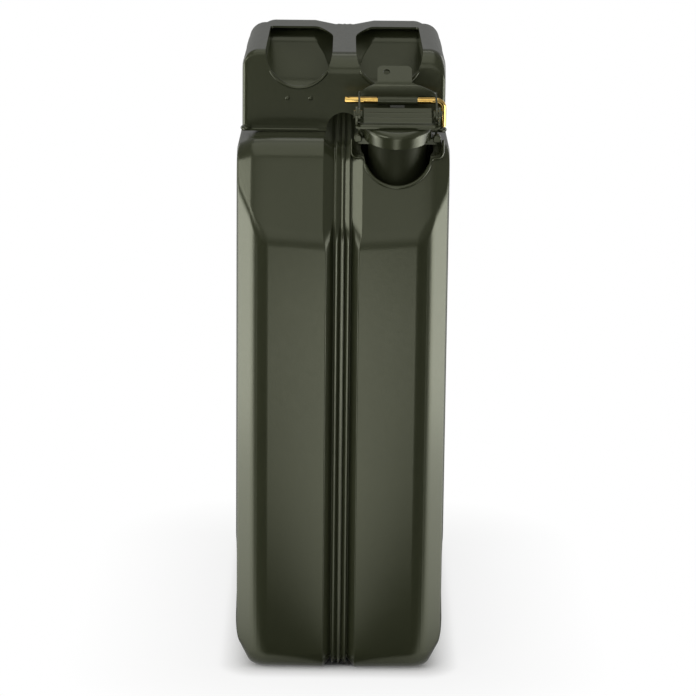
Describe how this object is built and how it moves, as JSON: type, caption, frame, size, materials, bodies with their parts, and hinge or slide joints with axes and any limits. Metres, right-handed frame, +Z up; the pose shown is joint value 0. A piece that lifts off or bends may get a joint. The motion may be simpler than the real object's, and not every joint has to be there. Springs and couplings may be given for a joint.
{
  "type": "metal jerry can",
  "caption": "Pressed steel fuel can with welded half shells, a triple-bar handle and a tilted spout closed by a hinged lid, cam lever and locking pin.",
  "frame": {"origin": "centre of the can's footprint, on the plane it stands on", "axes": "+Z up, spout end facing -Y, spout on the +X side of the seam, seam plane at X = 0"},
  "size_m": [0.16, 0.345, 0.475],
  "materials": {
    "painted_steel": "semi-gloss dark olive green paint",
    "plated_steel": "yellow zinc plating",
    "bare_steel": "bright zinc plating",
    "seal_rubber": "matte black fuel-proof rubber"
  },
  "bodies": {
    "can": {"left_shell": "painted_steel", "right_shell": "painted_steel", "handle_unit": "painted_steel", "filler_neck": "painted_steel", "breather_tube": "bare_steel", "hinge_bracket": "painted_steel", "hinge_pin": "bare_steel", "catch_lug_left": "painted_steel", "catch_lug_right": "painted_steel"},
    "closure": {"lid_dish": "painted_steel", "lid_gasket": "seal_rubber", "gasket_retainer": "bare_steel", "lid_rivet": "bare_steel", "clamp_strap": "painted_steel"},
    "lever": {"cam_lever": "painted_steel", "lever_rivet_left": "painted_steel", "lever_rivet_right": "painted_steel"},
    "pin": {"locking_pin": "plated_steel"}
  },
  "joints": [
    {"name": "lid_swing", "type": "hinge", "parent": "can", "child": "closure", "pos_m": [0.0405, -0.115, 0.42802], "axis": [-1, 0, 0], "range_deg": [0, 70]},
    {"name": "lever_throw", "type": "hinge", "parent": "closure", "child": "lever", "pos_m": [0.0405, -0.15426, 0.43328], "axis": [1, 0, 0], "range_deg": [0, 175]},
    {"name": "pin_slide", "type": "slide", "parent": "lever", "child": "pin", "axis": [1, 0, 0], "range_m": [0, 0.06]}
  ],
  "couplings": [
    {"joint": "lever_throw", "follows": "lid_swing", "ratio": 2.5}
  ]
}
